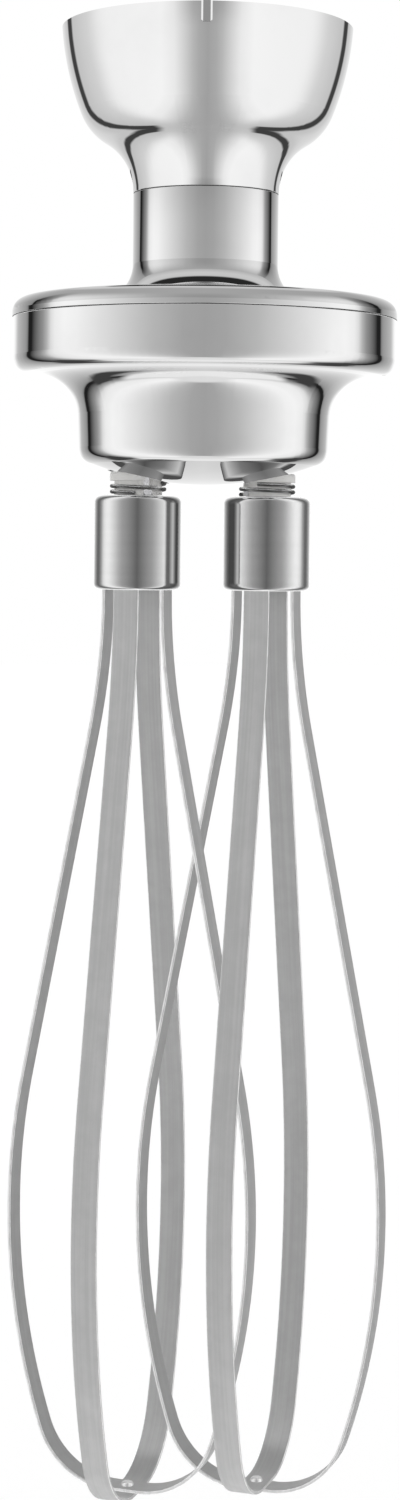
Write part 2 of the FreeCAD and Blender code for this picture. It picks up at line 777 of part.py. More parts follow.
def make_spindle(x, slot_angle):
    spindle = cylinder(shaft_radius, spindle_end, output_top, x)
    tip = shaft_radius / 4
    end_edges = [e for e in spindle.Edges if abs(e.CenterOfMass.z - spindle_end) < tip / 2]
    spindle = spindle.makeChamfer(tip, end_edges)
    spindle = spindle.cut(key_block(x, seat_gap)).cut(clip_groove(spindle_clip_level, x))
    return spindle.cut(cross_pin(drive_pin_radius + seat_gap, 2 * shaft_radius, pin_z, x, slot_angle))


def make_spindle_spacer(x):
    return tube(spindle_bearing_radius - bearing_shoulder - 2 * lay_gap - bearing_shoulder / 4,
                shaft_radius + seat_gap, cup_ceiling, output_bottom, x)


def make_drive_pin(x, slot_angle):
    return cross_pin(drive_pin_radius, hub_neck_radius - drive_pin_inset, pin_z, x, slot_angle)


def make_hub(x, slot_angle):
    # Nylon hub: a split ring on top, a neck for the spring, a flange held in the collar and a blind bore.
    top = hub_top
    ring_low = top - hub_ring_height
    flange_low = hub_flange_top - hub_flange_height
    flange = collar_bore - lay_gap
    bore = shaft_radius + running_gap
    bore_end = spindle_end - hub_wall_below
    corners = [(bore, top), (hub_ring_radius, top, hub_edge_radius), (hub_ring_radius, ring_low),
               (hub_neck_radius, ring_low), (hub_neck_radius, hub_flange_top),
               (flange, hub_flange_top), (flange, flange_low), (hub_neck_radius, flange_low),
               (hub_neck_radius, hub_bottom), (0, hub_bottom), (0, bore_end), (bore, bore_end)]
    hub = moved(turned_corners(corners), x)
    slot_low = pin_z - drive_pin_radius - slot_floor_gap
    width = 2 * (drive_pin_radius + running_gap)
    slot = Part.makeBox(4 * hub_ring_radius, width, top - slot_low + lay_gap)
    slot.translate(Vector(x - 2 * hub_ring_radius, -width / 2, slot_low))
    return hub.cut(around_z(slot, slot_angle, x))


def biarc(start, start_way, end, end_way):
    # Two tangent arcs from one point and direction to another.
    across = end - start
    ways = start_way + end_way
    lean = 2 * (1 - start_way.dot(end_way))
    run = across.dot(ways)
    reach = (math.sqrt(run * run + lean * across.dot(across)) - run) / lean
    joint = (start + end + (start_way - end_way) * reach) * 0.5
    return [tangent_arc(start, start_way, joint), tangent_arc(end, end_way * -1, joint)]


def tangent_arc(start, way, end):
    chord = end - start
    half = way.getAngle(chord) / 2
    side = (way * chord.Length - chord * math.cos(2 * half)).normalize()
    rise = chord.Length / 2 * math.tan(half)
    return Part.Arc(start, start + chord * 0.5 + side * rise, end).toShape()


def coil_point(turn):
    angle = 2 * math.pi * turn
    return Vector(wire_coil_radius * math.cos(angle), wire_coil_radius * math.sin(angle), -wire_pitch * turn)


def coil_way(turn):
    angle = 2 * math.pi * turn
    around = 2 * math.pi * wire_coil_radius
    return Vector(-around * math.sin(angle), around * math.cos(angle), -wire_pitch).normalize()


def least_coil_gap():
    # Smallest clear distance between one turn of the wire and the next, measured on points.
    samples = 240
    points = [coil_point(wire_turns * i / samples) for i in range(samples + 1)]
    apart = int(samples / wire_turns / 2)
    gaps = [points[i].distanceToPoint(points[j]) for i in range(samples + 1)
            for j in range(i + apart, samples + 1)]
    return min(gaps) - 2 * wire_radius


def make_retaining_spring(x, slot_angle):
    quarters = int(round(wire_turns * 4))
    edges = []
    first = coil_point(0)
    first_way = coil_way(0)
    edges.append(Part.makeLine(first - first_way * 2 * wire_radius, first))
    for i in range(quarters):
        a = wire_turns * i / quarters
        b = wire_turns * (i + 1) / quarters
        edges += biarc(coil_point(a), coil_way(a), coil_point(b), coil_way(b))
    last = coil_point(wire_turns)
    edges.append(Part.makeLine(last, last + coil_way(wire_turns) * 2 * wire_radius))
    path = Part.Wire(Part.__sortEdges__(edges))
    section = Part.Wire(Part.makeCircle(wire_radius, first - first_way * 2 * wire_radius, first_way))
    sweep = Part.BRepOffsetAPI.MakePipeShell(path)
    sweep.add(section)
    sweep.build()
    sweep.makeSolid()
    coil_top = hub_top - hub_ring_height - wire_lay_gap - wire_radius
    return moved(around_z(sweep.shape(), slot_angle + wire_end_angle), x, 0, coil_top)


def make_collar(x):
    hole = hub_neck_radius + lay_gap
    corners = [(hole, collar_top), (collar_radius, collar_top, collar_edge_radius),
               (collar_radius, collar_bottom, collar_foot_radius),
               (collar_bore, collar_bottom), (collar_bore, collar_top - collar_top_wall),
               (hole, collar_top - collar_top_wall)]
    return moved(turned_corners(corners), x)


def make_core(x, angle):
    # Plug that grips the four strip ends against the collar's bore.
    core = cylinder(collar_bore - running_gap, core_bottom, core_top)
    core = core.cut(cylinder(hub_neck_radius + lay_gap, hub_bottom - lay_gap, core_top))
    block = Part.makeBox(collar_bore, strip_width + 2 * lay_gap, core_top - core_bottom)
    block.translate(Vector(core_flat, -strip_width / 2 - lay_gap, core_bottom))
    for notch in in_circle(block, 4):
        core = core.cut(notch)
    return moved(around_z(core, angle), x)


def strip_side(offset, low):
    # Half of a loop, from the collar to the axis, moved outwards by the offset. Below the widest place
    # a curve of its own radius brings the strip to the flat run at the tip.
    flare = strip_flare_angle
    bend = 1 - math.cos(flare)
    curves = strip_flare_radius + bulge_curve_radius
    run = (bulge_radius - strip_root_radius - curves * bend) / math.sin(flare)
    flare_centre = flat_point(strip_root_radius + strip_flare_radius, strip_start)
    bulge_z = strip_start - curves * math.sin(flare) - run * math.cos(flare)
    bulge_centre = flat_point(bulge_radius - bulge_curve_radius, bulge_z)
    tip_centre = flat_point(tip_flat, low + tip_curve_radius)
    inset = bulge_radius - tip_flat
    drop = bulge_z - tip_centre.z
    lower_curve = (inset ** 2 + drop ** 2 - tip_curve_radius ** 2) / (2 * (inset - tip_curve_radius))
    lower_centre = flat_point(bulge_radius - lower_curve, bulge_z)
    turn = math.atan2(drop, tip_centre.x - lower_centre.x)
    top = flat_point(strip_root_radius + offset, core_top)
    first = arc_edge(flare_centre, strip_flare_radius - offset, math.pi, math.pi + flare)
    second = arc_edge(bulge_centre, bulge_curve_radius + offset, flare, 0)
    third = arc_edge(lower_centre, lower_curve + offset, 0, -turn)
    fourth = arc_edge(tip_centre, tip_curve_radius + offset, -turn, -math.pi / 2)
    return [Part.makeLine(top, start_of(first)), first, Part.makeLine(end_of(first), start_of(second)),
            second, third, fourth, Part.makeLine(end_of(fourth), flat_point(0, low - offset))]


def make_loop(x, angle, low):
    half = strip_thickness / 2
    outer = strip_side(half, low)
    inner = strip_side(-half, low)
    ends = [Part.makeLine(start_of(outer[0]), start_of(inner[0])),
            Part.makeLine(end_of(outer[-1]), end_of(inner[-1]))]
    face = Part.Face(Part.Wire(Part.__sortEdges__(outer + inner + ends)))
    side = moved(face.extrude(Vector(0, strip_width, 0)), 0, -strip_width / 2)
    loop = side.fuse(side.mirror(Vector(0, 0, 0), Vector(1, 0, 0))).removeSplitter()
    loop = loop.cut(cylinder(rivet_radius + seat_gap, low - strip_thickness, low + strip_thickness))
    return moved(around_z(loop, angle), x)


def make_rivet(x):
    low = strip_low
    high = strip_low + 2 * strip_thickness
    foot = low - rivet_head_height
    top = high + rivet_top_height
    corners = [(0, foot), (rivet_head_radius, foot, rivet_head_height * rivet_head_round),
               (rivet_head_radius, low), (rivet_radius, low), (rivet_radius, high), (rivet_top_radius, high),
               (rivet_top_radius, top, rivet_top_height * rivet_head_round), (0, top)]
    return moved(turned_corners(corners), x)


def add_housing(parts):
    parts["coupling_bell"] = make_bell()
    parts["bayonet_ring"] = make_bayonet_ring()
    parts["bayonet_screws"] = make_bayonet_screws()
    parts["bell_screws"] = make_bell_screws()
    parts["top_cover"] = make_cover()
    parts["cover_seal"] = make_cover_seal()
    parts["shaft_seal"] = make_shaft_seal()
    parts["bearing_clip"] = make_bearing_clip()
    parts["gear_housing"] = make_housing()
    parts["gear_plate"] = make_plate()
    parts["plate_screws"] = make_plate_screws()
    parts["layshaft_axle"] = make_axle()
    parts["spindle_seals"] = make_spindle_seals()


def add_gear_train(parts):
    parts["drive_coupling"] = make_coupling()
    parts["coupling_pin"] = cross_pin(coupling_pin_radius, coupling_radius - 2 * lay_gap, pin_level)
    parts["input_shaft"] = make_input_shaft()
    parts["input_spacer"] = make_input_spacer()
    parts["input_clips"] = group([shaft_clip(level) for level in input_clip_levels])
    parts["input_pinion"] = make_input_pinion()
    parts["layshaft_wheel"] = make_lay_wheel()
    parts["layshaft_pinion"] = make_lay_pinion()
    parts["layshaft_bush"] = make_lay_bush()
    outer, inner, balls = make_input_bearings()
    parts["input_bearing_outer_rings"] = outer
    parts["input_bearing_inner_rings"] = inner
    parts["input_bearing_balls"] = balls


def add_spindle(parts, side, x, slot_angle, phase):
    parts[side + "_spindle"] = make_spindle(x, slot_angle)
    parts[side + "_output_gear"] = make_output_gear(x, phase)
    parts[side + "_gear_key"] = key_block(x, 0)
    parts[side + "_spindle_spacer"] = make_spindle_spacer(x)
    parts[side + "_spindle_clip"] = shaft_clip(spindle_clip_level, x)
    parts[side + "_drive_pin"] = make_drive_pin(x, slot_angle)
    outer, inner, balls = spindle_bearings(x)
    parts[side + "_bearing_outer_rings"] = group(outer)
    parts[side + "_bearing_inner_rings"] = group(inner)
    parts[side + "_bearing_balls"] = group(balls)


def add_whisk(parts, side, x, angle, slot_angle):
    outer_low = strip_low + strip_thickness / 2
    parts[side + "_hub"] = make_hub(x, slot_angle)
    parts[side + "_retaining_spring"] = make_retaining_spring(x, slot_angle)
    parts[side + "_collar"] = make_collar(x)
    parts[side + "_core"] = make_core(x, angle)
    parts[side + "_outer_loop"] = make_loop(x, angle + 90.0, outer_low)
    parts[side + "_inner_loop"] = make_loop(x, angle, outer_low + strip_thickness)
    parts[side + "_rivet"] = make_rivet(x)


def build():
    parts = {}
    add_housing(parts)
    add_gear_train(parts)
    for side, x, turn, phase in (("left", -spindle_offset, 0.0, left_phase),
                                 ("right", spindle_offset, right_whisk_turn, right_phase)):
        angle = whisk_angle + turn
        add_spindle(parts, side, x, angle + slot_turn, phase)
        add_whisk(parts, side, x, angle, angle + slot_turn)
    return parts


os.makedirs("parts", exist_ok=True)
for name, shape in build().items():
    if not shape.isValid():
        print("not valid:", name)
    shape.exportStep("parts/" + name + ".step")
print("least gap between the spring's turns: %.3f mm" % least_coil_gap())
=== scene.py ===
import math
import bmesh
import bpy
from mathutils import Matrix, Vector


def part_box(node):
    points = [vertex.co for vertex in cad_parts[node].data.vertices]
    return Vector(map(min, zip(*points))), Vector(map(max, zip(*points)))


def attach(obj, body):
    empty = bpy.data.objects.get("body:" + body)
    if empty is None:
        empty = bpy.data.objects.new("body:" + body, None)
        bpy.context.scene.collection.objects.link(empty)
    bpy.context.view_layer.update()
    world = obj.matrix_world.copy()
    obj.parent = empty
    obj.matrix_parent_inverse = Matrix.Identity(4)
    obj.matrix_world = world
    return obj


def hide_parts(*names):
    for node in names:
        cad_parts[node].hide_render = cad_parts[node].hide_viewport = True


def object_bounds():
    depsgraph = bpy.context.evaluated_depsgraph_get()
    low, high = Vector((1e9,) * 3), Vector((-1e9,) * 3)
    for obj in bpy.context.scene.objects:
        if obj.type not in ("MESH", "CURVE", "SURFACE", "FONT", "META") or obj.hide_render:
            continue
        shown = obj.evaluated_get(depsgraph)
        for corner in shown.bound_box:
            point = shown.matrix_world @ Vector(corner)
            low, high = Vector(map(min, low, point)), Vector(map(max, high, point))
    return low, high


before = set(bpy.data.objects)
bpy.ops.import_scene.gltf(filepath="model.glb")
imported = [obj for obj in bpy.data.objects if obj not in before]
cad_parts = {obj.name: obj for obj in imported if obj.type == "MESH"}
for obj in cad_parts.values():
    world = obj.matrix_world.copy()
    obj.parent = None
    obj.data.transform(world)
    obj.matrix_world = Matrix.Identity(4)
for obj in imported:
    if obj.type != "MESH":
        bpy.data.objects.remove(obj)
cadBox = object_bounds()

# Whisk attachment for a stick blender: polished bell and gearbox, two strip whisks. Metres, frame of the solids.


class Wire:
    # a socket in a node tree; sums on it add Math nodes

    def __init__(self, tree, socket=None):
        self.tree = tree
        self.socket = socket

    def node(self, kind, settings=None, feeds=None, out=0):
        made = self.tree.nodes.new("ShaderNode" + kind)
        for key, value in (settings or {}).items():
            if key == "stops":
                setStops(made.color_ramp, value)
            else:
                setattr(made, key, value)
        for key, value in (feeds or {}).items():
            if isinstance(value, Wire):
                self.tree.links.new(value.socket, made.inputs[key])
            else:
                made.inputs[key].default_value = value
        return Wire(self.tree, made.outputs[out] if made.outputs else None)

    def maths(self, operation, first, second=0.0):
        return self.node("Math", {"operation": operation}, {0: first, 1: second})

    def __add__(self, other):
        return self.maths("ADD", self, other)

    def __radd__(self, other):
        return self.maths("ADD", other, self)

    def __sub__(self, other):
        return self.maths("SUBTRACT", self, other)

    def __rsub__(self, other):
        return self.maths("SUBTRACT", other, self)

    def __mul__(self, other):
        return self.maths("MULTIPLY", self, other)

    def __rmul__(self, other):
        return self.maths("MULTIPLY", other, self)

    def size(self):
        return self.maths("ABSOLUTE", self)

    def between(self, low, high, toLow=0.0, toHigh=1.0):
        feeds = {"Value": self, "From Min": low, "From Max": high, "To Min": toLow, "To Max": toHigh}
        return self.node("MapRange", {"interpolation_type": "SMOOTHSTEP"}, feeds)

    def pick(self, first, second):
        # colour between two, by this value; a Mix node's colours are its sockets 6 and 7, and its output 2
        return self.node("Mix", {"data_type": "RGBA"}, {0: self, 6: first, 7: second}, out=2)


def setStops(ramp, stops):
    while len(ramp.elements) > 1:
        ramp.elements.remove(ramp.elements[-1])
    for i, (place, level) in enumerate(stops):
        stop = ramp.elements[0] if i == 0 else ramp.elements.new(place)
        stop.position = place
        stop.color = grey(level)


def grey(level):
    return (level, level, level, 1)


# Materials

def newMaterial(name):
    made = bpy.data.materials.new(name)
    made.use_nodes = True
    made.node_tree.nodes.clear()
    return made, Wire(made.node_tree)


def closeMaterial(made, wire, feeds):
    surface = wire.node("BsdfPrincipled", feeds=feeds)
    wire.node("OutputMaterial", feeds={"Surface": surface})
    return made


def noise(wire, place, scale=1, detail=3.0, rough=0.5):
    return wire.node("TexNoise", feeds={"Vector": place, "Scale": scale, "Detail": detail, "Roughness": rough})


def stretched(wire, place, scale, turn=0.0, centre=(0, 0, 0)):
    # object coordinates moved to a centre, turned about the axis and stretched, for grain and lathe lines
    moved = wire.node("VectorMath", {"operation": "SUBTRACT"}, {0: place, 1: centre})
    turned = wire.node("Mapping", feeds={"Vector": moved, "Rotation": (0, 0, math.radians(-turn))})
    return wire.node("VectorMath", {"operation": "MULTIPLY"}, {0: turned, 1: scale})


def bump(wire, height, depth):
    return wire.node("Bump", feeds={"Height": height, "Distance": depth, "Strength": 1.0})


polish = {
    "level": 0.65, "hazeShare": 0.95, "clear": 0.012, "haze": 0.03, "cloudScale": 38, "cloudEdges": (0.42, 0.75),
    "buffRings": (400, 400, 3000), "buffRough": 0.006, "ripple": 0.00001, "rippleScale": 70,
}


def polishedSteel():
    made, wire = newMaterial("polishedSteel")
    place = wire.node("TexCoord", out="Object")
    cloud = noise(wire, place, polish["cloudScale"], detail=4, rough=0.6)
    fine = noise(wire, stretched(wire, place, polish["buffRings"]), detail=2)   # faint rings left by the buffing wheel
    wipe = cloud.between(*polish["cloudEdges"])
    tint = wipe.pick(grey(polish["level"]), grey(polish["level"] * polish["hazeShare"]))
    rough = wipe * (polish["haze"] - polish["clear"]) + polish["clear"] + fine * polish["buffRough"]
    ripple = bump(wire, noise(wire, place, polish["rippleScale"], detail=1), polish["ripple"])
    return closeMaterial(made, wire, {"Base Color": tint, "Metallic": 1.0, "Roughness": rough, "Normal": ripple})


# spreads are across the axis, bandFeed is the bands' share of the rings' scale, the rest are shares of level and rough
turning = {
    "ringSpread": 60, "bandSpread": 20, "bandFeed": 0.12, "stainScale": 120, "toneEdges": (0.35, 0.7),
    "light": 1.01, "dark": 0.96, "clear": 0.8, "bandRough": 0.12, "ringRough": 0.2,
}


def latheSteel(name, level, rough, pitch, depth, centre=(0, 0, 0)):
    # turned metal: fine rings up the axis, with broader bands of finer and coarser feed
    made, wire = newMaterial(name)
    place = wire.node("TexCoord", out="Object")
    ringScale = (turning["ringSpread"], turning["ringSpread"], 1 / pitch)
    bandScale = (turning["bandSpread"], turning["bandSpread"], turning["bandFeed"] / pitch)
    rings = noise(wire, stretched(wire, place, ringScale, centre=centre), detail=2, rough=0.6)
    bands = noise(wire, stretched(wire, place, bandScale, centre=centre), detail=2)
    stain = noise(wire, place, turning["stainScale"])
    tone = bands * 0.5 + stain * 0.5
    tint = tone.between(*turning["toneEdges"]).pick(grey(level * turning["light"]), grey(level * turning["dark"]))
    sheen = bands * (rough * turning["bandRough"]) + rings * (rough * turning["ringRough"]) + rough * turning["clear"]
    return closeMaterial(made, wire, {"Base Color": tint, "Metallic": 1.0, "Roughness": sheen,
                                      "Normal": bump(wire, rings, depth)})


rolled = {
    "grain": (60, 5000, 60), "lines": (12, 1400, 12), "mottleScale": 210, "lineShare": 0.6, "mottleShare": 0.4,
    "toneEdges": (0.35, 0.68), "clear": 0.30, "grainRough": 0.10, "mottleRough": 0.05, "depth": 0.00001,
}


def stripSteel(name, turn, centre, dark, light):
    # rolled strip: long grain along the strip, mottled oxide and a few drawn lines
    made, wire = newMaterial(name)
    place = wire.node("TexCoord", out="Object")
    grain = noise(wire, stretched(wire, place, rolled["grain"], turn, centre), rough=0.65)
    lines = noise(wire, stretched(wire, place, rolled["lines"], turn, centre), detail=2)
    mottle = noise(wire, place, rolled["mottleScale"], detail=4, rough=0.6)
    tone = lines * rolled["lineShare"] + mottle * rolled["mottleShare"]
    tint = tone.between(*rolled["toneEdges"]).pick(grey(dark), grey(light))
    rough = grain * rolled["grainRough"] + mottle * rolled["mottleRough"] + rolled["clear"]
    return closeMaterial(made, wire, {"Base Color": tint, "Metallic": 1.0, "Roughness": rough,
                                      "Normal": bump(wire, grain, rolled["depth"])})


sheared = {
    "nicks": (700, 700, 250), "toneEdges": (0.3, 0.7), "dark": 0.60, "light": 0.72, "clear": 0.17, "nickRough": 0.1,
    "depth": 0.00002,
}


def stripEdge():
    # sheared edge of the strip, tumbled smooth
    made, wire = newMaterial("stripEdge")
    place = wire.node("TexCoord", out="Object")
    nicks = noise(wire, stretched(wire, place, sheared["nicks"]))
    tint = nicks.between(*sheared["toneEdges"]).pick(grey(sheared["dark"]), grey(sheared["light"]))
    return closeMaterial(made, wire, {"Base Color": tint, "Metallic": 1.0,
                                      "Roughness": nicks * sheared["nickRough"] + sheared["clear"],
                                      "Normal": bump(wire, nicks, sheared["depth"])})


moulded = {
    "cloudScale": 260, "grainScale": 2600, "toneEdges": (0.35, 0.7), "light": (0.93, 0.925, 0.91, 1),
    "dark": (0.88, 0.87, 0.85, 1), "clear": 0.40, "grainRough": 0.12, "depth": 0.000003,
    "glow": 0.05, "glowReach": (0.001, 0.001, 0.0009),
}


def nylon():
    made, wire = newMaterial("nylonHub")
    place = wire.node("TexCoord", out="Object")
    cloud = noise(wire, place, moulded["cloudScale"])
    grain = noise(wire, place, moulded["grainScale"], detail=2)
    tint = cloud.between(*moulded["toneEdges"]).pick(moulded["light"], moulded["dark"])
    return closeMaterial(made, wire, {"Base Color": tint, "Roughness": grain * moulded["grainRough"] + moulded["clear"],
                                      "Subsurface Weight": moulded["glow"], "Subsurface Radius": moulded["glowReach"],
                                      "Normal": bump(wire, grain, moulded["depth"])})


coiled = {
    "drawn": (500, 500, 5000), "patchScale": 200, "toneEdges": (0.35, 0.7), "light": 0.38, "dark": 0.28,
    "clear": 0.12, "drawnRough": 0.10, "depth": 0.00001,
}


def springWire():
    made, wire = newMaterial("springWire")
    place = wire.node("TexCoord", out="Object")
    drawn = noise(wire, stretched(wire, place, coiled["drawn"]), detail=2)
    patch = noise(wire, place, coiled["patchScale"], detail=2)
    tint = patch.between(*coiled["toneEdges"]).pick(grey(coiled["light"]), grey(coiled["dark"]))
    return closeMaterial(made, wire, {"Base Color": tint, "Metallic": 1.0,
                                      "Roughness": drawn * coiled["drawnRough"] + coiled["clear"],
                                      "Normal": bump(wire, drawn, coiled["depth"])})


mottled = {
    "toneEdges": (0.33, 0.7), "light": 1.08, "dark": 0.86, "grainTimes": 8, "cloudRough": 0.12, "grainRough": 0.06,
}


def plainMetal(name, tint, rough, scale, depth, metallic=1.0):
    # castings, gears and small hardware: mottled colour, uneven gloss and a fine surface
    made, wire = newMaterial(name)
    place = wire.node("TexCoord", out="Object")
    cloud = noise(wire, place, scale, detail=4, rough=0.6)
    grain = noise(wire, place, scale * mottled["grainTimes"], detail=2)
    light = [c * mottled["light"] for c in tint] + [1]
    dark = [c * mottled["dark"] for c in tint] + [1]
    shade = cloud.between(*mottled["toneEdges"]).pick(light, dark)
    clear = rough - (mottled["cloudRough"] + mottled["grainRough"]) / 2
    sheen = cloud * mottled["cloudRough"] + grain * mottled["grainRough"] + clear
    return closeMaterial(made, wire, {"Base Color": shade, "Metallic": metallic, "Roughness": sheen,
                                      "Normal": bump(wire, grain, depth)})


print("materials")
axisOf = {}
for side in ("left", "right"):
    low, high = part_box(side + "_collar")
    axisOf[side] = (low + high) / 2
steel = polishedSteel()
edgeSteel = stripEdge()
hubNylon = nylon()
coilWire = springWire()
collarSteel = {side: latheSteel(side + "CollarSteel", level=0.64, rough=0.085, pitch=0.00022, depth=0.0000005,
                                centre=axisOf[side]) for side in axisOf}
shaftSteel = latheSteel("shaftSteel", level=0.62, rough=0.24, pitch=0.0003, depth=0.00001)
bearingSteel = plainMetal("bearingSteel", (0.64, 0.64, 0.65), rough=0.18, scale=300, depth=0.00001)
boltSteel = plainMetal("boltSteel", (0.58, 0.58, 0.59), rough=0.26, scale=420, depth=0.00001)
gearSteel = plainMetal("gearSteel", (0.46, 0.46, 0.47), rough=0.34, scale=380, depth=0.00002)
bronze = plainMetal("sinteredBronze", (0.62, 0.42, 0.20), rough=0.40, scale=500, depth=0.00002)
castMetal = plainMetal("castAluminium", (0.66, 0.66, 0.67), rough=0.42, scale=260, depth=0.00003)
rubber = plainMetal("sealRubber", (0.025, 0.025, 0.026), rough=0.55, scale=340, depth=0.00003, metallic=0.0)
acetal = plainMetal("blackAcetal", (0.03, 0.03, 0.031), rough=0.38, scale=300, depth=0.00002, metallic=0.0)


# Modelling

def closeShell(bm):
    bmesh.ops.remove_doubles(bm, verts=bm.verts[:], dist=0.000001)
    bmesh.ops.recalc_face_normals(bm, faces=bm.faces[:])


def addPiece(name, bm, body, materials, crease):
    mesh = bpy.data.meshes.new(name)
    bm.to_mesh(mesh)
    bm.free()
    for face in mesh.polygons:
        face.use_smooth = True
    mesh.set_sharp_from_angle(angle=math.radians(crease))
    for made in materials:
        mesh.materials.append(made)
    piece = bpy.data.objects.new(name, mesh)
    bpy.context.scene.collection.objects.link(piece)
    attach(piece, body)
    return piece


def firmNormals(piece):
    firm = piece.modifiers.new("firmNormals", "WEIGHTED_NORMAL")
    firm.mode = "FACE_AREA"
    firm.weight = 100
    firm.keep_sharp = True


# turns are degrees about a whisk's axis; outside and inside are the strip's dark and light levels, and the inside's are
# lower, a painted shade on the faces that look into the whisk
loop = {
    "rootRadius": 0.00785, "straight": 0.0008,
    "flareRadius": 0.180, "flareAngle": math.radians(11.1),
    "bulgeRadius": 0.032, "bulgeCurve": 0.174, "tipCurve": 0.020, "tipFlat": 0.0039,
    "width": 0.0067, "thickness": 0.0008, "edgeRound": 0.00028, "edgeSteps": 4,
    "flareSteps": 12, "bulgeSteps": 14, "lowerSteps": 40, "tipSteps": 28,
    "mirrorGap": 0.00001, "edgeTurn": 0.4, "crease": 60,
    "outside": (0.40, 0.46), "inside": (0.34, 0.39),
    "turns": (("left", "inner", -26), ("left", "outer", 64), ("right", "inner", -116), ("right", "outer", -26)),
}


def sweepLine(bm, section, way):
    made = bmesh.ops.extrude_edge_only(bm, edges=section)["geom"]
    verts = [g for g in made if isinstance(g, bmesh.types.BMVert)]
    bmesh.ops.translate(bm, verts=verts, vec=way)
    return [g for g in made if isinstance(g, bmesh.types.BMEdge) and set(g.verts) <= set(verts)]


def sweepArc(bm, section, centre, angle, steps):
    verts = list({v for e in section for v in e.verts})
    made = bmesh.ops.spin(bm, geom=verts + section, cent=centre, axis=(0, 1, 0), angle=angle, steps=steps)
    return [g for g in made["geom_last"] if isinstance(g, bmesh.types.BMEdge)]


def stripSection(bm, top):
    # end of the strip, a square metre scaled to its width and thickness
    bmesh.ops.create_grid(bm, x_segments=1, y_segments=1, size=0.5)
    bmesh.ops.scale(bm, verts=bm.verts[:], vec=(loop["thickness"], loop["width"], 1))
    bmesh.ops.bevel(bm, geom=bm.verts[:], offset=loop["edgeRound"], affect="VERTICES", segments=loop["edgeSteps"],
                    profile=0.5, material=-1)
    bmesh.ops.translate(bm, verts=bm.verts[:], vec=(loop["rootRadius"], 0, top))
    return bm.edges[:]


def makeLoop(side, layer, turn):
    node = side + "_" + layer + "_loop"
    lowCorner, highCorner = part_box(node)
    axis = (axisOf[side].x, axisOf[side].y, 0)
    low = lowCorner.z + loop["thickness"] / 2
    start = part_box(side + "_collar")[0].z - loop["straight"]
    flare = loop["flareAngle"]
    curves = loop["flareRadius"] + loop["bulgeCurve"]
    run = (loop["bulgeRadius"] - loop["rootRadius"] - curves * (1 - math.cos(flare))) / math.sin(flare)
    bulgeZ = start - curves * math.sin(flare) - run * math.cos(flare)
    flareCentre = (loop["rootRadius"] + loop["flareRadius"], 0, start)
    tipCentre = Vector((loop["tipFlat"], 0, low + loop["tipCurve"]))
    inset = loop["bulgeRadius"] - tipCentre.x
    drop = bulgeZ - tipCentre.z
    lowerCurve = (inset ** 2 + drop ** 2 - loop["tipCurve"] ** 2) / (2 * (inset - loop["tipCurve"]))
    bulgeCentre = Vector((loop["bulgeRadius"] - loop["bulgeCurve"], 0, bulgeZ))
    lowerCentre = Vector((loop["bulgeRadius"] - lowerCurve, 0, bulgeZ))
    lowerAngle = math.atan2(drop, tipCentre.x - lowerCentre.x)
    bm = bmesh.new()
    section = stripSection(bm, highCorner.z)
    section = sweepLine(bm, section, (0, 0, start - highCorner.z))
    section = sweepArc(bm, section, flareCentre, -flare, loop["flareSteps"])
    section = sweepLine(bm, section, (run * math.sin(flare), 0, -run * math.cos(flare)))
    section = sweepArc(bm, section, bulgeCentre, flare, loop["bulgeSteps"])
    section = sweepArc(bm, section, lowerCentre, lowerAngle, loop["lowerSteps"])
    section = sweepArc(bm, section, tipCentre, math.pi / 2 - lowerAngle, loop["tipSteps"])
    sweepLine(bm, section, (-tipCentre.x, 0, 0))
    bmesh.ops.mirror(bm, geom=bm.verts[:] + bm.edges[:] + bm.faces[:], axis="X", merge_dist=loop["mirrorGap"])
    closeShell(bm)
    for face in bm.faces:
        # materials: 0 outside, 1 edge, 2 inside
        inward = Vector((0, 0, bulgeZ)) - face.calc_center_median()
        if abs(face.normal.y) > loop["edgeTurn"]:
            face.material_index = 1
        elif face.normal.dot(inward) > 0:
            face.material_index = 2
    bmesh.ops.rotate(bm, verts=bm.verts[:], cent=(0, 0, 0), matrix=Matrix.Rotation(math.radians(turn), 3, "Z"))
    bmesh.ops.translate(bm, verts=bm.verts[:], vec=axis)
    label = side + layer.capitalize()
    # the inside copy is the same steel made darker: painted shade on the faces that look into the whisk
    outside = stripSteel(label + "Strip", turn, axis, *loop["outside"])
    inside = stripSteel(label + "StripInsidePaintedShade", turn, axis, *loop["inside"])
    finishes = [outside, edgeSteel, inside]
    piece = addPiece(node + "_strip", bm, side + "_whisk", finishes, loop["crease"])
    firmNormals(piece)
    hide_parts(node)
    return piece


seam = {"neckRadius": 0.01845, "flangeRadius": 0.0488, "groove": 0.0002, "sunk": 0.00006, "fill": 0.9, "steps": 192,
        "crease": 35}


def spinRound(bm, steps):
    bmesh.ops.spin(bm, geom=bm.verts[:] + bm.edges[:], cent=(0, 0, 0), axis=(0, 0, 1), angle=math.tau, steps=steps,
                   use_merge=True)


def makeSeam(name, radius, z):
    # bead of dark sealant in the groove where two castings meet
    deep, face = radius - seam["groove"], radius - seam["sunk"]
    half = (seam["groove"] - seam["sunk"]) * seam["fill"]
    bm = bmesh.new()
    bm.verts.new((deep, 0, z))
    bm.verts.new((face, 0, z + half))
    bm.verts.new((face, 0, z - half))
    bmesh.ops.contextual_create(bm, geom=bm.verts[:])
    bmesh.ops.delete(bm, geom=bm.faces[:], context="FACES_ONLY")
    spinRound(bm, seam["steps"])
    closeShell(bm)
    return addPiece(name, bm, "housing", [rubber], seam["crease"])


print("pieces")
ownPieces = [makeSeam("neck_seam_bead", seam["neckRadius"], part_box("coupling_bell")[0].z),
             makeSeam("flange_seam_bead", seam["flangeRadius"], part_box("gear_housing")[1].z)]
ownPieces += [makeLoop(side, layer, turn) for side, layer, turn in loop["turns"]]


def dress(made, *names, prefix=""):
    for name in names:
        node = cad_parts[prefix + name]
        node.data.materials.clear()
        node.data.materials.append(made)


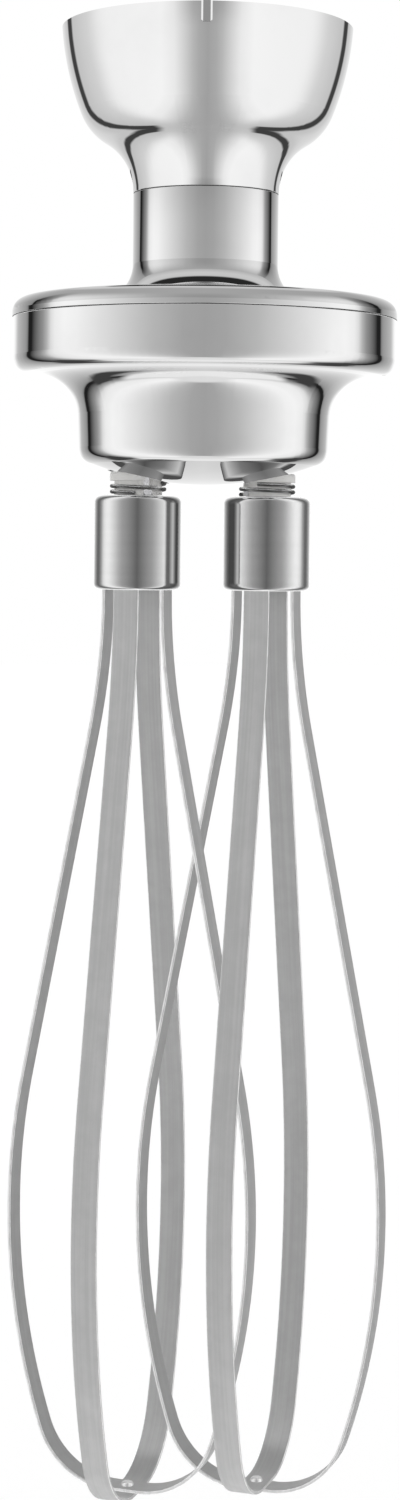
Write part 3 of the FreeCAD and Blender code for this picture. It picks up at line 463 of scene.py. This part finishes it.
def dressFrame():
    dress(steel, "coupling_bell", "top_cover", "gear_housing")
    dress(shaftSteel, "bayonet_ring", "input_shaft", "input_spacer", "layshaft_axle")
    dress(boltSteel, "bayonet_screws", "bell_screws", "plate_screws", "coupling_pin", "input_clips", "bearing_clip")
    dress(bearingSteel, "input_bearing_outer_rings", "input_bearing_inner_rings", "input_bearing_balls")
    dress(gearSteel, "input_pinion", "layshaft_wheel", "layshaft_pinion")
    dress(bronze, "layshaft_bush")
    dress(rubber, "cover_seal", "shaft_seal", "spindle_seals")
    dress(castMetal, "gear_plate")
    dress(acetal, "drive_coupling")


def dressSide(side):
    prefix = side + "_"
    dress(collarSteel[side], "collar", prefix=prefix)
    dress(hubNylon, "hub", prefix=prefix)
    dress(coilWire, "retaining_spring", prefix=prefix)
    dress(edgeSteel, "rivet", prefix=prefix)
    dress(castMetal, "core", prefix=prefix)
    dress(shaftSteel, "spindle_spacer", prefix=prefix)
    dress(boltSteel, "gear_key", "spindle_clip", prefix=prefix)
    dress(gearSteel, "output_gear", "spindle", "drive_pin", prefix=prefix)
    dress(bearingSteel, "bearing_outer_rings", "bearing_inner_rings", "bearing_balls", prefix=prefix)


print("finishes")
dressFrame()
for side in axisOf:
    dressSide(side)

# Studio: a white room, and round the object one grey tent for each group of metal, which that metal alone mirrors

studio = {"azimuth": -7.0, "peak": 1.4, "radius": 3.0, "tentGap": 0.1, "tentSteps": (64, 32), "blackRadius": 4.5,
          "foldScale": 2, "foldEdges": (0.3, 0.7), "fold": 0.002}

# around: level by degrees round from the photo's front, and inner the same for the side that faces the other whisk
# across: level by distance to either side, for rays to the front and straight down
# lean: degrees that the back of the room is turned by, and turned further with the rise
# patch: a level inside limits that each fade over a span, in degrees round or in sines of the rise; weight is its share
sideRamp = ((0, 0.53), (12, 0.56), (30, 0.71), (80, 1.35), (90, 1.39), (100, 1.29), (105, 1.10), (110, 0.68),
            (115, 0.42), (128, 0.02), (132, 0.02), (134, 0.35), (137, 0.46), (150, 0.66), (180, 1.05))
sideLean = {"shift": 3.96, "rise": 16.2, "over": (90, 111.6)}
collarFront = ((0, 0.18), (40, 0.50), (50, 0.65))
outerRamp = collarFront + ((70, 1.10), (80, 1.28), (90, 1.30), (100, 1.08), (110, 0.50), (120, 0.22), (130, 0.19),
                           (150, 0.63), (160, 1.0), (180, 1.38))
innerRamp = collarFront + ((77, 1.15), (85, 0.20), (120, 0.10), (130, 0.18), (150, 0.60), (160, 1.0), (180, 1.30))
tents = {
    "bell": {
        "metal": ("coupling_bell", "bayonet_ring", "bayonet_screws", "bell_screws", "drive_coupling", "coupling_pin"),
        "around": ((0, 0.53), (10, 0.61), (30, 1.18), (40, 1.34), (70, 1.40), (90, 1.26), (110, 0.96), (130, 0.80),
                   (150, 0.80), (158, 0.90), (180, 0.95)),
        "across": ((0, 0.54), (0.12, 0.61), (0.20, 0.72), (0.44, 1.25), (0.60, 1.38), (1, 1.34)),
        "front": (-0.25, 0.30), "under": (-0.975, -0.87),
        "patches": (
            {"from": (132.5, 136.5), "to": (142.5, 146.5), "above": (-0.895, -0.845), "level": 0.07},
            {"to": (7.2, 36), "above": (-0.15, 0.12), "level": 0, "weight": 0.24},
        ),
    },
    "neck": {
        "metal": ("top_cover",), "around": sideRamp, "lean": sideLean,
        "patches": (
            {"above": (0.25, 0.75), "level": 0.66},
            {"above": (0.094, 0.136), "level": 0, "weight": 0.17},
        ),
    },
    "gearbox": {
        "metal": ("gear_housing",), "around": sideRamp, "lean": sideLean,
        "patches": (
            {"from": (99, 118.8), "below": (-0.86, -0.80), "level": 1.24},
            {"from": (149.4, 162), "above": (-0.25, -0.08), "level": 1.20},
            {"from": (115.2, 120.6), "to": (151.2, 162), "above": (-0.80, -0.74), "below": (-0.66, -0.58),
             "level": 0.07},
            {"below": (-0.992, -0.97), "level": 1.10},
        ),
    },
    "leftCollar": {"metal": ("left_collar",), "around": outerRamp, "inner": innerRamp, "innerWay": (-0.02, 0.02)},
    "rightCollar": {"metal": ("right_collar",), "around": outerRamp, "inner": innerRamp, "innerWay": (0.02, -0.02)},
    "coils": {
        "metal": ("left_retaining_spring", "right_retaining_spring"),
        "around": ((0, 0.10), (70, 0.16), (90, 0.60), (110, 0.20), (180, 0.15)),
        "patches": ({"above": (0.20, 0.35), "below": (0.60, 0.75), "level": 1.25},),
    },
    "small": {
        "around": ((0, 0.50), (20, 0.70), (45, 1.05), (80, 1.38), (105, 1.08), (125, 0.62), (145, 0.68), (180, 0.80)),
        "patches": ({"below": (-0.97, -0.5), "level": 1.2},),
    },
}


def roomRamp(wire, along, stops):
    # the last stop is the ramp's full length
    full = stops[-1][0]
    scaled = [(place / full, shade / studio["peak"]) for place, shade in stops]
    return wire.node("ValToRGB", {"stops": scaled}, {"Fac": along * (1 / full)})


def split(wire, vector):
    parts = wire.node("SeparateXYZ", feeds={"Vector": vector}).socket.node.outputs
    return [Wire(wire.tree, socket) for socket in parts]


def frontPlace(wire, centre=(0, 0, 0)):
    # object coordinates from a centre, with the photo's front along minus Y
    return stretched(wire, wire.node("TexCoord", out="Object"), (1, 1, 1), studio["azimuth"], centre)


def turnAround(wire, across, along):
    # degrees, 0 to the photo's front and 180 to its back
    return wire.maths("ARCTAN2", across, 0.0 - along).size() * math.degrees(1)


def patchShare(around, up, patch):
    limits = (("from", around, 0, 1), ("to", around, 1, 0), ("above", up, 0, 1), ("below", up, 1, 0))
    shares = [value.between(*patch[key], first, last) for key, value, first, last in limits if key in patch]
    share = shares[0]
    for other in shares[1:]:
        share = share * other
    return share * patch["weight"] if "weight" in patch else share


def closeCloth(made, wire, surface):
    wire.node("OutputMaterial", feeds={"Surface": surface})
    made.cycles.emission_sampling = "NONE"
    return made


def glow(wire, tone):
    return wire.node("Emission", feeds={"Color": tone, "Strength": studio["peak"]})


def tentCloth(name, tent):
    made, wire = newMaterial(name + "TentCloth")
    unit = wire.node("VectorMath", {"operation": "NORMALIZE"}, {0: frontPlace(wire)})
    across, along, up = split(wire, unit)
    around = turnAround(wire, across, along)
    if "lean" in tent:
        lean = tent["lean"]
        around = around + (up * lean["rise"] + lean["shift"]) * around.between(*lean["over"])
    room = roomRamp(wire, around, tent["around"])
    if "inner" in tent:
        room = across.between(*tent["innerWay"]).pick(room, roomRamp(wire, around, tent["inner"]))
    if "across" in tent:
        wide = roomRamp(wire, across.size(), tent["across"])
        room = along.between(*tent["front"]).pick(wide, room)
        room = up.between(*tent["under"]).pick(wide, room)
    for patch in tent.get("patches", ()):
        room = patchShare(around, up, patch).pick(room, grey(patch["level"] / studio["peak"]))
    clear = wire.node("BsdfTransparent")
    return closeCloth(made, wire, wire.node("AddShader", feeds={0: glow(wire, room), 1: clear}))


def blackCloth():
    made, wire = newMaterial("blackCloth")
    place = wire.node("TexCoord", out="Object")
    folds = noise(wire, place, studio["foldScale"]).between(*studio["foldEdges"])
    tone = folds.pick(grey(0.0), grey(studio["fold"]))
    return closeCloth(made, wire, wire.node("Emission", feeds={"Color": tone}))


def addStage(name, bm, made):
    mesh = bpy.data.meshes.new(name)
    bm.to_mesh(mesh)
    bm.free()
    mesh.materials.append(made)
    item = bpy.data.objects.new(name, mesh)
    bpy.context.scene.collection.objects.link(item)
    return item


def onlyMetalSees(item):
    item.visible_camera = False
    item.visible_diffuse = False
    item.visible_transmission = False
    item.visible_shadow = False
    return item


def makeTent(name, radius, cloth):
    columns, rows = studio["tentSteps"]
    bm = bmesh.new()
    bmesh.ops.create_uvsphere(bm, u_segments=columns, v_segments=rows, radius=radius)
    return onlyMetalSees(addStage(name, bm, cloth))


# glowing card round the neck, seen from below by its foot, that gives it a painted reflection, dark near the neck and
# light further out: level by millimetres from the axis
neckCard = {
    "inner": 0.0208, "outer": 0.050, "height": -0.036, "steps": 96,
    "stops": ((19, 0.03), (31, 0.03), (33.5, 0.84), (40, 0.88), (50, 0.66)),
}


def neckCloth():
    made, wire = newMaterial("neckCardCloth")
    across, along = split(wire, frontPlace(wire))[:2]
    millimetres = wire.maths("SQRT", across * across + along * along) * 1000
    cloth = glow(wire, roomRamp(wire, millimetres, neckCard["stops"]))
    above = wire.node("NewGeometry", out="Backfacing")
    clear = wire.node("BsdfTransparent")
    return closeCloth(made, wire, wire.node("MixShader", feeds={0: above, 1: cloth, 2: clear}))


def makeNeckCard():
    bm = bmesh.new()
    inner = bm.verts.new((neckCard["inner"], 0, neckCard["height"]))
    outer = bm.verts.new((neckCard["outer"], 0, neckCard["height"]))
    bmesh.ops.contextual_create(bm, geom=[inner, outer])
    spinRound(bm, neckCard["steps"])
    bm.normal_update()
    bmesh.ops.reverse_faces(bm, faces=[f for f in bm.faces if f.normal.z > 0])
    onlyMetalSees(addStage("neckCard", bm, neckCloth()))


# stand-ins for the collars and hubs, mirrored by metal close by: width and height are shares of the piece's own, and
# around is a level by degrees round from the photo's front
# the stand-ins glow with painted levels, a painted reflection of the lit collars and hubs
images = {
    "collar": {
        "width": 0.485, "height": 0.88, "steps": 48,
        "around": ((0, 0.11), (30, 0.26), (45, 0.50), (60, 0.75), (72, 0.35), (85, 0.09), (180, 0.09)),
    },
    "hub": {
        "width": 0.32, "height": 0.88, "steps": 48,
        "around": ((0, 0.20), (50, 0.32), (90, 0.14), (180, 0.10)),
    },
}
imageReach = (0.036, 0.040)


def imageCloth(name, centre, stops):
    # seen by the dome and not by the bell farther up; light from a piece within it passes out
    made, wire = newMaterial(name + "Cloth")
    across, along = split(wire, frontPlace(wire, centre))[:2]
    # painted reflection: glow by degrees round the piece
    cloth = glow(wire, roomRamp(wire, turnAround(wire, across, along), stops))
    away = wire.node("LightPath", out="Ray Length").between(*imageReach)
    inside = wire.node("NewGeometry", out="Backfacing")
    clear = wire.node("BsdfTransparent")
    return closeCloth(made, wire, wire.node("MixShader", feeds={0: away + inside, 1: cloth, 2: clear}))


def makeImage(side, piece):
    image = images[piece]
    low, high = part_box(side + "_" + piece)
    middle = (low + high) / 2
    radius = image["width"] * (high.x - low.x)
    name = side + piece.capitalize() + "Image"
    bm = bmesh.new()
    bmesh.ops.create_cone(bm, cap_ends=True, segments=image["steps"], radius1=radius, radius2=radius,
                          depth=image["height"] * (high.z - low.z))
    bmesh.ops.translate(bm, verts=bm.verts[:], vec=middle)
    onlyMetalSees(addStage(name, bm, imageCloth(name, middle, image["around"])))


def makeTents():
    makeTent("blackTent", studio["blackRadius"], blackCloth())
    metalOf = {node: name for name, tent in tents.items() for node in tent.get("metal", ())}
    groups = {name: bpy.data.collections.new(name + "Metal") for name in tents}
    for node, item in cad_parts.items():
        item.visible_glossy = metalOf.get(node) == "bell"   # the pieces below aren't mirrored in the bell
        groups[metalOf.get(node, "small")].objects.link(item)
    for item in ownPieces:
        item.visible_glossy = False
        groups["small"].objects.link(item)
    for step, (name, tent) in enumerate(tents.items()):
        item = makeTent(name + "Tent", studio["radius"] + studio["tentGap"] * step, tentCloth(name, tent))
        item.light_linking.receiver_collection = groups[name]


def makeWorld():
    world = bpy.data.worlds.new("studio")
    bpy.context.scene.world = world
    world.use_nodes = True
    world.node_tree.nodes.clear()
    wire = Wire(world.node_tree)
    white = wire.node("Background", feeds={"Color": grey(1.0), "Strength": 1.0})
    wire.node("OutputWorld", feeds={"Surface": white})


# drop is from the lowest point of the part; the camera sees the paper as white, and the part sees its tone
paper = {"drop": 0.078, "size": 6.0, "tone": 0.5, "fleck": 0.01, "fleckScale": 900, "fleckEdges": (0.3, 0.7)}


def makeFloor():
    bm = bmesh.new()
    bmesh.ops.create_grid(bm, x_segments=1, y_segments=1, size=paper["size"])
    bmesh.ops.translate(bm, verts=bm.verts[:], vec=(0, 0, cadBox[0].z - paper["drop"]))
    made, wire = newMaterial("floorPaper")
    place = wire.node("TexCoord", out="Object")
    flecks = noise(wire, place, paper["fleckScale"], detail=2).between(*paper["fleckEdges"])
    tint = flecks.pick(grey(paper["tone"] + paper["fleck"]), grey(paper["tone"]))
    matt = wire.node("BsdfDiffuse", feeds={"Color": tint})
    seen = wire.node("LightPath", out="Is Camera Ray")
    white = wire.node("Emission", feeds={"Color": grey(1.0), "Strength": seen * (1 - paper["tone"])})
    both = wire.node("AddShader", feeds={0: matt, 1: white})
    wire.node("OutputMaterial", feeds={"Surface": both})
    floor = addStage("studioFloor", bm, made)
    floor.visible_glossy = False


# roll in degrees; frameHeight, axisX and horizon in pixels of the photo
lensSet = {
    "distance": 0.668, "height": -0.1295, "roll": 0.62, "sensor": 36, "nearest": 0.01,
    "metresPerPixel": 0.000254, "frameHeight": 1500, "axisX": 2.3, "horizon": 210,
}


def makeCamera():
    data = bpy.data.cameras.new("photoCamera")
    camera = bpy.data.objects.new("photoCamera", data)
    bpy.context.scene.collection.objects.link(camera)
    turn = math.radians(studio["azimuth"])
    far = lensSet["distance"]
    spot = Matrix.Translation((far * math.sin(turn), -far * math.cos(turn), lensSet["height"]))
    aim = Matrix.Rotation(turn, 4, "Z") @ Matrix.Rotation(math.radians(90), 4, "X")
    camera.matrix_world = spot @ aim @ Matrix.Rotation(math.radians(lensSet["roll"]), 4, "Z")
    data.sensor_width = lensSet["sensor"]
    data.lens = lensSet["sensor"] * far / lensSet["metresPerPixel"] / lensSet["frameHeight"]
    data.shift_x = -lensSet["axisX"] / lensSet["frameHeight"]
    data.shift_y = -lensSet["horizon"] / lensSet["frameHeight"]
    data.clip_start = lensSet["nearest"]
    bpy.context.scene.camera = camera


print("studio")
makeWorld()
makeFloor()
makeNeckCard()
for side in axisOf:
    for piece in images:
        makeImage(side, piece)
makeTents()
makeCamera()
bpy.context.scene.view_settings.view_transform = "Standard"
